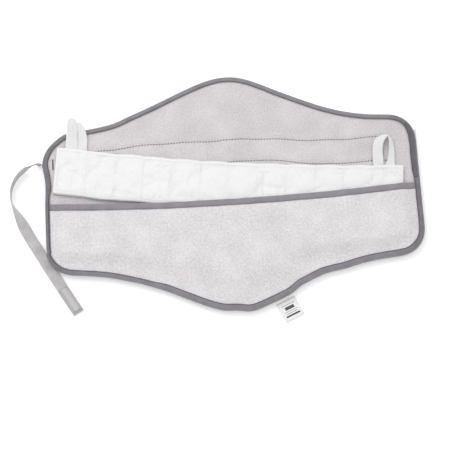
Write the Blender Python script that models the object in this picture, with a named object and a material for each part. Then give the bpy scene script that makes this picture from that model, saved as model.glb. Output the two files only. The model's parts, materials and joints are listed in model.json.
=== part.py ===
"""Cold compression wrap: a padded cover with a pocket, the segmented cold pack in it, and its strap.

Units are metres. +X runs along the wrap, +Y from the pocket half to the flap half, and +Z is up out of
the inner face. The origin lies on the underside of the outer fleece, mid-length, at the fold line.
"""

import math

import bmesh
import bpy
import numpy as np
from mathutils import Vector

# Outline of the two halves, either side of the fold line. The depths are measured away from that line.
POCKET = -1
FLAP = 1
HALF_LENGTH = 0.332
END_DEPTH = {POCKET: 0.139, FLAP: 0.132}
SEAM_DEPTH = {POCKET: -0.001, FLAP: 0.002}
FLANK_SLOPE = 0.613
FLANK_REACH = 0.205
PEAK_ROUNDING = 0.055
FOOT_ROUNDING = 0.074
CORNER_RADIUS = 0.050
CORNER_STEPS = 8
FLANK_STEPS = 34

# Thicknesses, and the air gap kept between pieces that touch
GAP = 0.0003
FLEECE = 0.0016
FOAM = 0.0030
TERRY = 0.0020
PANEL = 0.0016
TAPE = 0.0010
CANVAS = 0.0008
WEBBING = 0.0016
HOOK_TAPE = 0.0012
LABEL = 0.0007

# Edge binding and the inset of the layers that it grips
BINDING_WIDTH = 0.0106
BINDING_CHAMFER = 0.0012
LAYER_INSET = TAPE + GAP
RIM_PRESS = 0.0002

# Levels of the stack, from the outer fleece's underside upwards
FOAM_Z = FLEECE + GAP
TERRY_Z = FOAM_Z + FOAM + GAP
TERRY_TOP = TERRY_Z + TERRY
PANEL_Z = TERRY_TOP + GAP
BINDING_BOTTOM = -GAP - TAPE
FLAP_BINDING_TOP = TERRY_TOP + GAP + TAPE
POCKET_BINDING_TOP = PANEL_Z + PANEL + GAP + TAPE

# Cold pack: a bowed strip of sewn cells, lying askew and half in the pocket
PACK_CENTRE = Vector((-0.0065, 0.021))
PACK_TURN = math.radians(-6.6)
PACK_BOW = 0.012
PACK_LENGTH = 0.616
PACK_WIDTH = 0.088
CELLS = 12
END_HEM = 0.005
SIDE_HEM = 0.006
CELL_RISE = 0.0076
FILL_SLACK = 0.0012
CELL_GRID = (-1.0, -0.85, -0.5, 0.5, 0.85, 1.0)
PACK_Z = FLAP_BINDING_TOP + GAP
FILL_Z = PACK_Z + CANVAS + GAP
PACK_TOP = FILL_Z + CELL_RISE + CANVAS
PACK_SWING_AXIS = Vector((0.568, 0.049, FILL_Z))

# Pocket panel: flat at the binding, domed over the room that the pack needs. Its mouth sags, skewed left.
MOUTH_DROP = 0.0095
MOUTH_SAG = 0.0127
MOUTH_SKEW = 0.0030
PANEL_RUN_START = BINDING_WIDTH + 0.0010
PANEL_RUN = 0.010
PANEL_RISE = PACK_TOP + 2 * GAP + TAPE - PANEL_Z
PANEL_RISE_STEPS = 3
PANEL_ROWS = 5
COLUMN_GAP = 0.001

# Fold line: high enough for the closed flap to clear the mouth binding
FOLD_Y = (SEAM_DEPTH[FLAP] - SEAM_DEPTH[POCKET]) / 2
MOUTH_TOP = PANEL_Z + PANEL_RISE + PANEL + GAP + TAPE
FOLD_Z = (MOUTH_TOP + 2 * GAP + TERRY_TOP) / 2

# Hanging loops on the pack's far edge
LOOP_PLACE = 0.2738
LOOP_TAPE_WIDTH = 0.0185
LOOP_LEG_OFFSET = 0.0100
LOOP_LENGTH = 0.056
LOOP_FRONT_LEG_RISE = 0.0038
LOOP_STEPS = 20
LOOP_AXIS_Z = FILL_Z + CANVAS + 0.0010

# Strap: stands on edge at its root, lies down through a bend, and runs under the wrap's corner
TABLE_Z = -0.0034
STRAP_WIDTH = 0.020
STRAP_ROOT = Vector((-0.336, 0.075))
STRAP_HEADING = math.radians(194)
STRAP_LEAD = 0.010
BEND_RADIUS = 0.061
BEND_TURN = math.radians(103)
REACH_LENGTH = 0.220
REACH_TURN = math.radians(3.7)
TWIST_START = 0.100
TWIST_LENGTH = 0.075
STRAP_STEP = 0.008
TAIL_LENGTH = 0.072
PATCH_LENGTH = 0.048
PATCH_WIDTH = 0.016
PATCH_END_MARGIN = 0.004

# Landing band and root tab, on the underside of the flap half
BAND_Y = 0.075
BAND_WIDTH = 0.053
BAND_NARROW = 0.020
BAND_TAPE = 0.0012
BAND_START = -0.3075
BAND_FULL_FROM = -0.060
BAND_DIP_X = HALF_LENGTH - 2 * BINDING_WIDTH
BAND_STEPS = 12
TAB_START = -0.309
END_WALL_X = HALF_LENGTH + GAP + BAND_TAPE / 2
END_WALL_TOP = 0.006

# Care label, sewn under the lower edge
LABEL_X = 0.078
LABEL_WIDTH = 0.036
LABEL_LENGTH = 0.037
LABEL_STAND_OFF = 0.0015
LABEL_Z = TABLE_Z + 0.0005

FLEECE_COLOUR = (0.71, 0.68, 0.67)
FOAM_COLOUR = (0.62, 0.60, 0.58)
FLAP_TERRY_COLOUR = (0.66, 0.63, 0.63)
POCKET_TERRY_COLOUR = (0.75, 0.74, 0.76)
BINDING_COLOUR = (0.27, 0.26, 0.29)
WEBBING_COLOUR = (0.53, 0.50, 0.50)
CANVAS_COLOUR = (0.92, 0.92, 0.92)
FILL_COLOUR = (0.42, 0.45, 0.48)
LOOP_COLOUR = (0.85, 0.84, 0.85)
LABEL_COLOUR = (0.88, 0.88, 0.87)


def clear_scene():
    for obj in list(bpy.data.objects):
        bpy.data.objects.remove(obj, do_unlink=True)


def cloth_material(name, colour, roughness=0.9):
    material = bpy.data.materials.new(name)
    material.use_nodes = True
    shader = material.node_tree.nodes["Principled BSDF"]
    shader.inputs["Base Color"].default_value = (*colour, 1.0)
    shader.inputs["Roughness"].default_value = roughness
    shader.inputs["Metallic"].default_value = 0.0
    return material


def add_piece(name, bm, pivot, colour, smooth=False):
    """Turn a bmesh in world coordinates into a piece that hangs from its joint's empty."""
    bmesh.ops.recalc_face_normals(bm, faces=bm.faces)
    mesh = bpy.data.meshes.new(name)
    bm.to_mesh(mesh)
    bm.free()
    if smooth:
        mesh.shade_smooth()
        mesh.set_sharp_from_angle(angle=math.radians(35))
    mesh.materials.append(cloth_material(name + "_cloth", colour))
    piece = bpy.data.objects.new(name, mesh)
    bpy.context.collection.objects.link(piece)
    piece.parent = pivot
    piece.location = -world_place(pivot)
    return piece


def world_place(empty):
    place = empty.location.copy()
    while empty.parent:
        empty = empty.parent
        place += empty.location
    return place


def add_pivot(name, place, parent=None):
    """Put an empty on a joint's axis; the pieces that turn on the joint hang from it."""
    pivot = bpy.data.objects.new(name, None)
    pivot.empty_display_size = 0.02
    bpy.context.collection.objects.link(pivot)
    pivot.location = place
    if parent:
        pivot.parent = parent
        pivot.location = place - world_place(parent)
    return pivot


def loft(rings):
    """A closed body through rings that all have the same number of points."""
    bm = bmesh.new()
    rows = [[bm.verts.new(point) for point in ring] for ring in rings]
    count = len(rows[0])
    for near, far in zip(rows, rows[1:]):
        for i in range(count):
            j = (i + 1) % count
            bm.faces.new((near[i], near[j], far[j], far[i]))
    bm.faces.new(rows[0])
    bm.faces.new(list(reversed(rows[-1])))
    return bm


def ribbon(stations):
    """A tape through stations, each one a centre, a half-width vector and a half-thickness vector."""
    return loft(
        [
            (place - wide - thick, place + wide - thick, place + wide + thick, place - wide + thick)
            for place, wide, thick in stations
        ]
    )


def smoothstep(t):
    t = min(max(t, 0.0), 1.0)
    return t * t * (3 - 2 * t)


# ---- Outline --------------------------------------------------------------------------------------


def flank_rise(x):
    """Rise of the outer edge: a straight flank, rounded at the peak and at the foot."""
    inward = FLANK_REACH - math.hypot(x, PEAK_ROUNDING)
    return FLANK_SLOPE * (inward + math.hypot(inward, FOOT_ROUNDING)) / 2


def edge_depth(x, side):
    """How far a half's outer edge stands from the fold line, between its rounded corners."""
    return END_DEPTH[side] + flank_rise(x) - flank_rise(HALF_LENGTH - CORNER_RADIUS)


def edge_slope(x):
    inward = FLANK_REACH - math.hypot(x, PEAK_ROUNDING)
    steepness = (1 + inward / math.hypot(inward, FOOT_ROUNDING)) / 2
    return -FLANK_SLOPE * steepness * x / math.hypot(x, PEAK_ROUNDING)


def edge_stations(side):
    """Points and outward normals along the outer edge, from the right end's seam to the left end's."""
    corner_x = HALF_LENGTH - CORNER_RADIUS
    corner = Vector((corner_x, END_DEPTH[side] - CORNER_RADIUS))
    right_end = [(Vector((HALF_LENGTH, SEAM_DEPTH[side])), Vector((1, 0)))]
    for step in range(CORNER_STEPS):
        angle = math.pi / 2 * step / CORNER_STEPS
        normal = Vector((math.cos(angle), math.sin(angle)))
        right_end.append((corner + normal * CORNER_RADIUS, normal))
    left_end = [(Vector((-p.x, p.y)), Vector((-n.x, n.y))) for p, n in reversed(right_end)]
    middle = []
    for step in range(FLANK_STEPS + 1):
        x = corner_x * (1 - 2 * step / FLANK_STEPS)
        middle.append((Vector((x, edge_depth(x, side))), Vector((-edge_slope(x), 1)).normalized()))
    return right_end + middle + left_end


def inset_edge(side, inset):
    return [point - normal * inset for point, normal in edge_stations(side)]


def layer(side, low, high):
    """A flat layer of a half, pressed thinner from below where the edge binding grips it."""
    bm = bmesh.new()
    rims = [(inset_edge(side, LAYER_INSET), low + RIM_PRESS), (inset_edge(side, BINDING_WIDTH + GAP), low)]
    outer, inner = [[bm.verts.new((p.x, side * p.y, z)) for p in rim] for rim, z in rims]
    faces = [bm.faces.new(corners) for corners in zip(outer, outer[1:], inner[1:], inner)]
    faces.append(bm.faces.new(inner))
    grown = bmesh.ops.extrude_face_region(bm, geom=faces)
    for item in grown["geom"]:
        if isinstance(item, bmesh.types.BMVert):
            item.co.z = high
    return bm


def edge_distance(point, edge):
    """Distance from a point to the half's outer edge."""
    best = math.inf
    for a, b in zip(edge, edge[1:]):
        run = b - a
        t = min(max((point - a).dot(run) / run.dot(run), 0.0), 1.0)
        best = min(best, (point - a - run * t).length)
    return best


# ---- Cover ----------------------------------------------------------------------------------------


def edge_binding(side, top):
    """Tape folded round the edge of a half: a U in section, open towards the middle."""
    low, cut = BINDING_BOTTOM, BINDING_CHAMFER
    profile = [
        (BINDING_WIDTH, top),
        (cut, top),
        (0.0, top - cut),
        (0.0, low + cut),
        (cut, low),
        (BINDING_WIDTH, low),
        (BINDING_WIDTH, low + TAPE),
        (TAPE, low + TAPE),
        (TAPE, top - TAPE),
        (BINDING_WIDTH, top - TAPE),
    ]
    rings = []
    for point, normal in edge_stations(side):
        ring = [(point - normal * inset, z) for inset, z in profile]
        rings.append([Vector((p.x, side * p.y, z)) for p, z in ring])
    return loft(rings)


def cover_half(prefix, side, binding_top, pivot):
    terry_colour = POCKET_TERRY_COLOUR if side == POCKET else FLAP_TERRY_COLOUR
    add_piece(prefix + "_outer_fleece", layer(side, 0.0, FLEECE), pivot, FLEECE_COLOUR)
    add_piece(prefix + "_foam_core", layer(side, FOAM_Z, FOAM_Z + FOAM), pivot, FOAM_COLOUR)
    add_piece(prefix + "_inner_terry", layer(side, TERRY_Z, TERRY_TOP), pivot, terry_colour)
    binding = edge_binding(side, binding_top)
    add_piece(prefix + "_edge_binding", binding, pivot, BINDING_COLOUR, smooth=True)


def mouth_depth(x):
    """Distance of the pocket's mouth from the fold line: a shallow, slightly skewed sag between the ends."""
    share = x / HALF_LENGTH
    return MOUTH_DROP + MOUTH_SAG * (1 - share**2) - MOUTH_SKEW * share


def panel_underside(x, depth, edge):
    """Height of the pocket panel's underside, rising from the binding to clear the pack."""
    run = (edge_distance(Vector((x, depth)), edge) - PANEL_RUN_START) / PANEL_RUN
    return PANEL_Z + PANEL_RISE * smoothstep(run)


def rise_places():
    """Distances from the edge at which the panel's rise is divided."""
    return [PANEL_RUN_START + PANEL_RUN * step / PANEL_RISE_STEPS for step in range(PANEL_RISE_STEPS + 1)]


def panel_columns():
    """Places along the panel and its outer depth there: the edge's own points, and more where it rises."""
    edge = inset_edge(POCKET, LAYER_INSET)[1:-1]
    own = [point.x for point in edge]
    risen = [HALF_LENGTH - place for place in rise_places()]
    places = sorted(own + risen + [-x for x in risen])
    apart = [places[0]] + [x for before, x in zip(places, places[1:]) if x - before > COLUMN_GAP]
    depths = np.interp(apart, own[::-1], [point.y for point in reversed(edge)])
    return list(zip(apart, depths.tolist()))


def row_depths(mouth, end):
    """Depths of the panel's rows in one column, from the mouth to the outer edge."""
    rise = [end + LAYER_INSET - place for place in reversed(rise_places())]
    return [mouth + (rise[0] - mouth) * row / PANEL_ROWS for row in range(PANEL_ROWS)] + rise + [end]


def pocket_panel(pivot):
    edge = inset_edge(POCKET, 0.0)
    rings = []
    for x, end in panel_columns():
        depths = row_depths(mouth_depth(x), end)
        under = [Vector((x, -depth, panel_underside(x, depth, edge))) for depth in depths]
        over = [point + Vector((0, 0, PANEL)) for point in reversed(under)]
        rings.append(under + over)
    add_piece("pocket_panel", loft(rings), pivot, POCKET_TERRY_COLOUR, smooth=True)


def mouth_binding(pivot):
    """Tape folded over the panel's free edge, open towards the pocket's depth."""
    edge = inset_edge(POCKET, 0.0)
    rings = []
    for x, _ in panel_columns():
        front = mouth_depth(x) - LAYER_INSET
        back = front + BINDING_WIDTH
        under = panel_underside(x, mouth_depth(x), edge) - GAP
        over = under + PANEL + 2 * GAP
        if under - TAPE < TERRY_TOP + GAP:
            continue
        profile = [
            (back, over + TAPE),
            (front, over + TAPE),
            (front, under - TAPE),
            (back, under - TAPE),
            (back, under),
            (front + TAPE, under),
            (front + TAPE, over),
            (back, over),
        ]
        rings.append([Vector((x, -depth, z)) for depth, z in profile])
    add_piece("pocket_mouth_binding", loft(rings), pivot, BINDING_COLOUR, smooth=True)


# ---- Cold pack ------------------------------------------------------------------------------------


def pack_point(along, across, z):
    """World place of a point given along and across the bowed, askew pack."""
    bowed = across - PACK_BOW * (1 - (2 * along / PACK_LENGTH) ** 2)
    x = PACK_CENTRE.x + along * math.cos(PACK_TURN) - bowed * math.sin(PACK_TURN)
    y = PACK_CENTRE.y + along * math.sin(PACK_TURN) + bowed * math.cos(PACK_TURN)
    return Vector((x, y, z))


def puff(t):
    return 1 - t**4


def cell_centre(cell):
    return (cell + 0.5 - CELLS / 2) * cell_pitch()


def cell_pitch():
    return (PACK_LENGTH - 2 * END_HEM) / CELLS


def cell_half_width():
    return PACK_WIDTH / 2 - SIDE_HEM


def pack_back(pivot):
    half = PACK_WIDTH / 2
    rings = []
    for step in range(CELLS + 1):
        along = PACK_LENGTH * (step / CELLS - 0.5)
        corners = ((-half, PACK_Z), (half, PACK_Z), (half, PACK_Z + CANVAS), (-half, PACK_Z + CANVAS))
        rings.append([pack_point(along, across, z) for across, z in corners])
    add_piece("pack_back_canvas", loft(rings), pivot, CANVAS_COLOUR)


def pack_front(pivot):
    """The front canvas puffs up over each cell and lies flat at the hems and divider seams."""
    columns = [(-PACK_LENGTH / 2, 0.0)]
    for cell in range(CELLS):
        first = 0 if cell == 0 else 1
        for t in CELL_GRID[first:]:
            columns.append((cell_centre(cell) + t * cell_pitch() / 2, puff(t)))
    columns.append((PACK_LENGTH / 2, 0.0))
    rows = [(-PACK_WIDTH / 2, 0.0)]
    rows += [(t * cell_half_width(), puff(t)) for t in CELL_GRID]
    rows += [(PACK_WIDTH / 2, 0.0)]
    rings = []
    for along, lift in columns:
        under = [pack_point(along, across, FILL_Z + CELL_RISE * lift * rise) for across, rise in rows]
        over = [point + Vector((0, 0, CANVAS)) for point in reversed(under)]
        rings.append(under + over)
    add_piece("pack_front_canvas", loft(rings), pivot, CANVAS_COLOUR, smooth=True)


def pack_fill(cell, pivot):
    """The filling of one cell, which follows the front canvas from just below."""
    grid = CELL_GRID[1:-1]
    rings = []
    for t in grid:
        along = cell_centre(cell) + t * cell_pitch() / 2
        across = [s * cell_half_width() for s in grid]
        ring = [pack_point(along, across[0], FILL_Z), pack_point(along, across[-1], FILL_Z)]
        for s in reversed(grid):
            level = FILL_Z + CELL_RISE * puff(t) * puff(s) - FILL_SLACK
            ring.append(pack_point(along, s * cell_half_width(), level))
        rings.append(ring)
    add_piece(f"pack_fill_{cell + 1:02d}", loft(rings), pivot, FILL_COLOUR, smooth=True)


def pack_edge_frame(along):
    """Directions along and away from the pack's far edge, at a place on it."""
    near = pack_point(along - 0.001, PACK_WIDTH / 2, 0)
    far = pack_point(along + 0.001, PACK_WIDTH / 2, 0)
    tangent = (far - near).normalized()
    return tangent, Vector((-tangent.y, tangent.x, 0))


def pack_loop(name, along, pivot):
    """One tape, doubled over: its legs lie side by side, the second one a little higher."""
    root = pack_point(along, PACK_WIDTH / 2 + GAP, 0)
    tangent, outward = pack_edge_frame(along)
    back_z = PACK_Z + GAP + TAPE / 2
    front_root_z = back_z + TAPE + GAP
    turn_radius = (front_root_z + LOOP_FRONT_LEG_RISE - back_z) / 2
    stations = []
    for step in range(LOOP_STEPS + 1):
        t = step / LOOP_STEPS
        side = -LOOP_LEG_OFFSET * math.cos(math.pi * t)
        if t < 0.4:
            out = GAP + LOOP_LENGTH * t / 0.4
            z = back_z
            normal = Vector((0, 0, 1))
        elif t > 0.6:
            out = GAP + LOOP_LENGTH * (1 - t) / 0.4
            z = front_root_z + LOOP_FRONT_LEG_RISE * smoothstep((1 - t) / 0.3)
            normal = Vector((0, 0, -1))
        else:
            angle = math.pi * (t - 0.4) / 0.2
            out = GAP + LOOP_LENGTH + turn_radius * math.sin(angle)
            z = back_z + turn_radius * (1 - math.cos(angle))
            normal = Vector((0, 0, 1)) * math.cos(angle) - outward * math.sin(angle)
        place = root + tangent * side + outward * out + Vector((0, 0, z))
        stations.append((place, tangent * LOOP_TAPE_WIDTH / 2, normal * TAPE / 2))
    add_piece(name, ribbon(stations), pivot, LOOP_COLOUR, smooth=True)


# ---- Strap, landing band and label ----------------------------------------------------------------


def strap_length():
    return STRAP_LEAD + BEND_RADIUS * BEND_TURN + REACH_LENGTH


def strap_plan(s):
    """Place and heading on the strap's centreline, a distance s from its root."""
    lead = min(s, STRAP_LEAD)
    heading = STRAP_HEADING
    place = STRAP_ROOT + lead * Vector((math.cos(heading), math.sin(heading)))
    s -= lead
    for radius, turn in ((BEND_RADIUS, BEND_TURN), (REACH_LENGTH / REACH_TURN, REACH_TURN)):
        angle = min(s / radius, turn)
        left = Vector((-math.sin(heading), math.cos(heading)))
        heading += angle
        new_left = Vector((-math.sin(heading), math.cos(heading)))
        place += radius * (left - new_left)
        s -= angle * radius
    return place, heading


def strap_section(s):
    """Centre, half width and half thickness of the strap: on edge at the root, flat after the twist."""
    plan, heading = strap_plan(s)
    left = Vector((-math.sin(heading), math.cos(heading), 0))
    up = Vector((0, 0, 1))
    lie = math.pi / 2 * smoothstep((s - TWIST_START) / TWIST_LENGTH)
    wide = (up * math.cos(lie) + left * math.sin(lie)) * STRAP_WIDTH / 2
    thick = (up * math.sin(lie) - left * math.cos(lie)) * WEBBING / 2
    centre = Vector((plan.x, plan.y, TABLE_Z + abs(wide.z) + abs(thick.z)))
    return centre, wide, thick


def strap_part(name, start, end, pivot):
    steps = max(2, round((end - start) / STRAP_STEP))
    stations = [strap_section(start + (end - start) * i / steps) for i in range(steps + 1)]
    add_piece(name, ribbon(stations), pivot, WEBBING_COLOUR, smooth=True)


def tail_hinge():
    """Place and cross direction of the crease where the strap's tail lifts off the table."""
    place, heading = strap_plan(strap_length() - TAIL_LENGTH)
    return Vector((place.x, place.y, TABLE_Z + WEBBING)), heading


def hook_patch(pivot):
    end = strap_length() - PATCH_END_MARGIN
    stations = []
    for s in (end - PATCH_LENGTH, end - PATCH_LENGTH / 2, end):
        centre, wide, thick = strap_section(s)
        centre.z = TABLE_Z + WEBBING + GAP + HOOK_TAPE / 2
        stations.append((centre, wide.normalized() * PATCH_WIDTH / 2, thick.normalized() * HOOK_TAPE / 2))
    add_piece("strap_hook_patch", ribbon(stations), pivot, WEBBING_COLOUR)


def wrapped_end(start_x, x_sign):
    """Stations that take a band under the edge binding and up the outside of the wrap's end."""
    half = BAND_TAPE / 2
    under_z = BINDING_BOTTOM - GAP - half
    corner_x = x_sign * END_WALL_X
    down = Vector((0, 0, half))
    out = Vector((-x_sign * half, 0, 0))
    return [
        (Vector((start_x, BAND_Y, under_z)), down),
        (Vector((corner_x, BAND_Y, under_z)), down + out),
        (Vector((corner_x, BAND_Y, END_WALL_TOP)), out),
    ]


def band_half_width(x):
    full = (x - BAND_START) / (BAND_FULL_FROM - BAND_START)
    return (BAND_NARROW + (BAND_WIDTH - BAND_NARROW) * smoothstep(full)) / 2


def landing_band(pivot):
    """Smooth band that the hook patch grips; it tapers to the strap's root tab."""
    level = -GAP - BAND_TAPE / 2
    half = Vector((0, 0, BAND_TAPE / 2))
    step = (BAND_DIP_X - BINDING_WIDTH - BAND_START) / BAND_STEPS
    places = [BAND_START + step * i for i in range(BAND_STEPS + 1)]
    path = [(Vector((x, BAND_Y, level)), half) for x in places] + wrapped_end(BAND_DIP_X, 1)
    stations = [(p, Vector((0, band_half_width(p.x), 0)), thick) for p, thick in path]
    add_piece("landing_band", ribbon(stations), pivot, FLEECE_COLOUR)


def strap_root_tab(pivot):
    wide = Vector((0, STRAP_WIDTH / 2, 0))
    stations = [(p, wide, thick) for p, thick in wrapped_end(TAB_START, -1)]
    add_piece("strap_root_tab", ribbon(stations), pivot, WEBBING_COLOUR)


def label_frame():
    """Root place, and directions along and away from the lower edge, where the label is sewn."""
    normal = Vector((-edge_slope(LABEL_X), 1, 0)).normalized()
    outward = Vector((normal.x, -normal.y, 0))
    root = Vector((LABEL_X, -edge_depth(LABEL_X, POCKET), 0)) + outward * LABEL_STAND_OFF
    return root, Vector((-outward.y, outward.x, 0)), outward


def care_label(pivot):
    root, along, outward = label_frame()
    level = Vector((0, 0, LABEL_Z + LABEL / 2))
    wide = along * LABEL_WIDTH / 2
    thick = Vector((0, 0, LABEL / 2))
    stations = [(root + outward * reach + level, wide, thick) for reach in (GAP, LABEL_LENGTH)]
    add_piece("care_label", ribbon(stations), pivot, LABEL_COLOUR)


# ---- Assembly -------------------------------------------------------------------------------------


def build_pack(root):
    pack = add_pivot("pack_swing_axis", PACK_SWING_AXIS, root)
    pack_back(pack)
    pack_front(pack)
    for cell in range(CELLS):
        pack_fill(cell, pack)
    for name, along in (("pack_loop_left", -LOOP_PLACE), ("pack_loop_right", LOOP_PLACE)):
        place = pack_point(along, PACK_WIDTH / 2 + GAP, LOOP_AXIS_Z)
        pack_loop(name, along, add_pivot(name + "_axis", place, pack))


def build_strap(flap):
    crease, _ = tail_hinge()
    swing = add_pivot("strap_swing_axis", Vector((*STRAP_ROOT, 0)), flap)
    tail = add_pivot("tail_lift_axis", crease, swing)
    split = strap_length() - TAIL_LENGTH
    strap_part("closure_strap", 0.0, split - GAP, swing)
    strap_part("strap_tail", split + GAP, strap_length(), tail)
    hook_patch(tail)


def build():
    clear_scene()
    pocket = add_pivot("pocket_half", Vector((0, 0, 0)))
    flap = add_pivot("half_fold_axis", Vector((0, FOLD_Y, FOLD_Z)), pocket)
    cover_half("pocket", POCKET, POCKET_BINDING_TOP, pocket)
    pocket_panel(pocket)
    mouth_binding(pocket)
    cover_half("flap", FLAP, FLAP_BINDING_TOP, flap)
    landing_band(flap)
    strap_root_tab(flap)
    build_strap(flap)
    build_pack(pocket)
    label_root, _, _ = label_frame()
    care_label(add_pivot("label_axis", label_root + Vector((0, 0, LABEL_Z + LABEL)), pocket))


build()
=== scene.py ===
"""Looks of the cold compression wrap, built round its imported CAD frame.

Units are metres, in the CAD's own axes: +X along the wrap, +Y from the pocket half to the flap half,
+Z up out of the terry-lined face. Every piece takes its place from the CAD's nodes and joints.
"""

import json
import math

import bmesh
import bpy
import numpy as np
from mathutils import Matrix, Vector, noise
from mathutils.geometry import delaunay_2d_cdt


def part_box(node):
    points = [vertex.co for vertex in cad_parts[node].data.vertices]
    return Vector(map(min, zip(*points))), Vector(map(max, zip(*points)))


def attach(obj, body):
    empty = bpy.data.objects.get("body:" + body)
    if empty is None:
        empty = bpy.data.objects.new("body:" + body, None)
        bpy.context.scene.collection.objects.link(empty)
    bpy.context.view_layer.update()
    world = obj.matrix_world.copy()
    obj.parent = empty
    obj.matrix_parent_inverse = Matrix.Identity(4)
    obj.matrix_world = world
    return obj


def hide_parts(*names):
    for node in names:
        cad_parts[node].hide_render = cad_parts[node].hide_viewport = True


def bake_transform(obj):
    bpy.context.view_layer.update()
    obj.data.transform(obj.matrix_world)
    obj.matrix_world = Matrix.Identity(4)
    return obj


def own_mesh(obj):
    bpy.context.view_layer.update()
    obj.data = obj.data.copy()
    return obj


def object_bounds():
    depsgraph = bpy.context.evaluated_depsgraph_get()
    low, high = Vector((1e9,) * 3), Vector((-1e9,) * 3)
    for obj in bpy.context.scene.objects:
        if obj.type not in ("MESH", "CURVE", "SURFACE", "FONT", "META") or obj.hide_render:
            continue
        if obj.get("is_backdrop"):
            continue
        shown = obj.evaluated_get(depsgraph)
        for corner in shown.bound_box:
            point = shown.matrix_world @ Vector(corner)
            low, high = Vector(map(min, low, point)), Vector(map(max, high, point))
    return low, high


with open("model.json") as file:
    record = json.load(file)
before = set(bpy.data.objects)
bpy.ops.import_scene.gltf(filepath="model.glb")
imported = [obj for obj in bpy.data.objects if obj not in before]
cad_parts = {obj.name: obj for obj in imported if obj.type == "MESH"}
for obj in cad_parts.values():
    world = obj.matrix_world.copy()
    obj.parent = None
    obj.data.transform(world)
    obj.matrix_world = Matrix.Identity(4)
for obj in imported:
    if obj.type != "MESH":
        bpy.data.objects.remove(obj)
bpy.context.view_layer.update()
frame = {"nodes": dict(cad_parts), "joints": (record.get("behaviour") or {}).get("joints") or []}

TOUCHING = 1e-5

# How finely soft surfaces are divided
OUTLINE_STEP = 0.004
SHEET_PITCH = 0.0045
LINING_PITCH = 0.0036
PANEL_PITCH = 0.0042
TAPE_STEP = 0.003

# The wrap's cloth: how it lies, and how thick the pocket's panel is
WAVE_HEIGHT = 0.0012
CORNER_LIFT = 0.0050
LINING_PILLOW = 0.0009
LINING_PINCH = 0.0007
PANEL_THICKNESS = 0.0016

# Tape and thread. Layers end inside the tape's round back, so that no rim shows through it.
TAPE = 0.0010
BINDING_WIDTH = 0.0106
BINDING_BACK = 0.0042
RIM_INSET = 0.0048
BINDING_STITCH = 0.0034
BINDING_STITCH_INSET = 0.0014
MOUTH_TAPE_WIDTH = 0.0104
THREAD_RADIUS = 0.00032

# A stitch: places along it, its girth and its height there, in shares of the thread's radius
STITCH_SPANS = np.array([0.0, 0.16, 0.5, 0.84, 1.0])
STITCH_GIRTH = np.array([0.45, 0.9, 1.0, 0.9, 0.45])
STITCH_ARCH = np.array([-0.8, 0.25, 0.5, 0.25, -0.8])
STITCH_SIDES = 6

# Half of a tape's section: places across it, and its fullness there
TAPE_ACROSS = np.array([-1.0, -0.97, -0.88, -0.6, -0.25, 0.25, 0.6, 0.88, 0.97, 1.0])
TAPE_FULLNESS = np.array([0.35, 0.8, 1.08, 0.92, 1.0, 1.0, 0.92, 1.08, 0.8, 0.35])

# Cold pack. A row of points on its hem and the sewn line inside it are held while the cells fill.
PACK_CELLS = 12
PACK_PITCH = 0.0030
PACK_HEM = 0.006
PACK_HEM_THICKNESS = 0.0019
PACK_HELD_ROWS = 3
PACK_SIM_FRAMES = 22
PACK_CLOTH = {
    "quality": 6,
    "mass": 0.25,
    "tension_stiffness": 12,
    "compression_stiffness": 12,
    "shear_stiffness": 6,
    "bending_stiffness": 0.15,
    "shrink_min": -0.055,
    "uniform_pressure_force": 2.2,
}
PACK_SCALLOP = 0.0009
PACK_SWAY = 0.0012

# Hanging loops: how far their tops lean to the left, and how high their outer and inner edges stand
LOOP_LEAN = {"left": 0.27, "right": 0.0}
LOOP_STAND = {"left": (0.0040, 0.0030), "right": (0.0022, 0.0075)}

# Painted tape shade with dark thread, and the pale table, which glows a little so that the wrap's shadow on
# it stays faint
TAPE_SHADE_AND_THREAD = (0.050, 0.047, 0.055)
FLOOR_COLOUR = (0.965, 0.965, 0.965)
FLOOR_GLOW = 0.16

# Plain marks printed on the label: place along it, half height, half width
LABEL_MARKS = (
    (0.0085, 0.0004, 0.0125),
    (0.0150, 0.0030, 0.0085),
    (0.0210, 0.0004, 0.0125),
    (0.0245, 0.0004, 0.0105),
    (0.0290, 0.0016, 0.0130),
)


# ---- Reading the CAD ------------------------------------------------------------------------------


def joint(name):
    """A joint's place and axis."""
    found = next(j for j in frame["joints"] if j["name"] == name)
    return Vector(found["pos_m"]), Vector(found["axis"]).normalized()


def merged(node):
    """A CAD node's mesh as a bmesh whose faces share their corners."""
    bm = bmesh.new()
    bm.from_mesh(frame["nodes"][node].data)
    bmesh.ops.remove_doubles(bm, verts=bm.verts, dist=TOUCHING)
    bm.normal_update()
    return bm


def wall_points(node):
    """Plan points on a flat CAD layer's side wall."""
    bm = merged(node)
    walls = {v for f in bm.faces if abs(f.normal.z) < 0.1 for v in f.verts}
    points = sorted({(round(v.co.x, 5), round(v.co.y, 5)) for v in walls})
    bm.free()
    return points


def tape_sections(node, start):
    """Centres, half widths and half thicknesses of a CAD tape, from the end nearest to start."""
    bm = merged(node)
    ring = sorted(bm.verts, key=lambda v: (v.co - start).length)[:4]
    seen = set(ring)
    sections = []
    while ring:
        points = sorted((v.co.copy() for v in ring), key=lambda p: (p.z, p.x, p.y))
        first = points.pop()
        points.sort(key=lambda p: (p - first).length)
        centre = (first + points[-1]) / 2
        wide = (first - points[1]) / 2
        thick = (first - points[0]) / 2
        if sections:
            wide = -wide if wide.dot(sections[-1][1]) < 0 else wide
            thick = -thick if thick.dot(sections[-1][2]) < 0 else thick
        sections.append((centre, wide, thick))
        near = {e.other_vert(v) for v in ring for e in v.link_edges}
        ring = list(near - seen)
        seen |= near
    bm.free()
    return [np.array([section[k] for section in sections]) for k in range(3)]


# ---- Lines and sheets -----------------------------------------------------------------------------


def ease(t):
    t = np.clip(t, 0.0, 1.0)
    return t * t * (3 - 2 * t)


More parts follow.
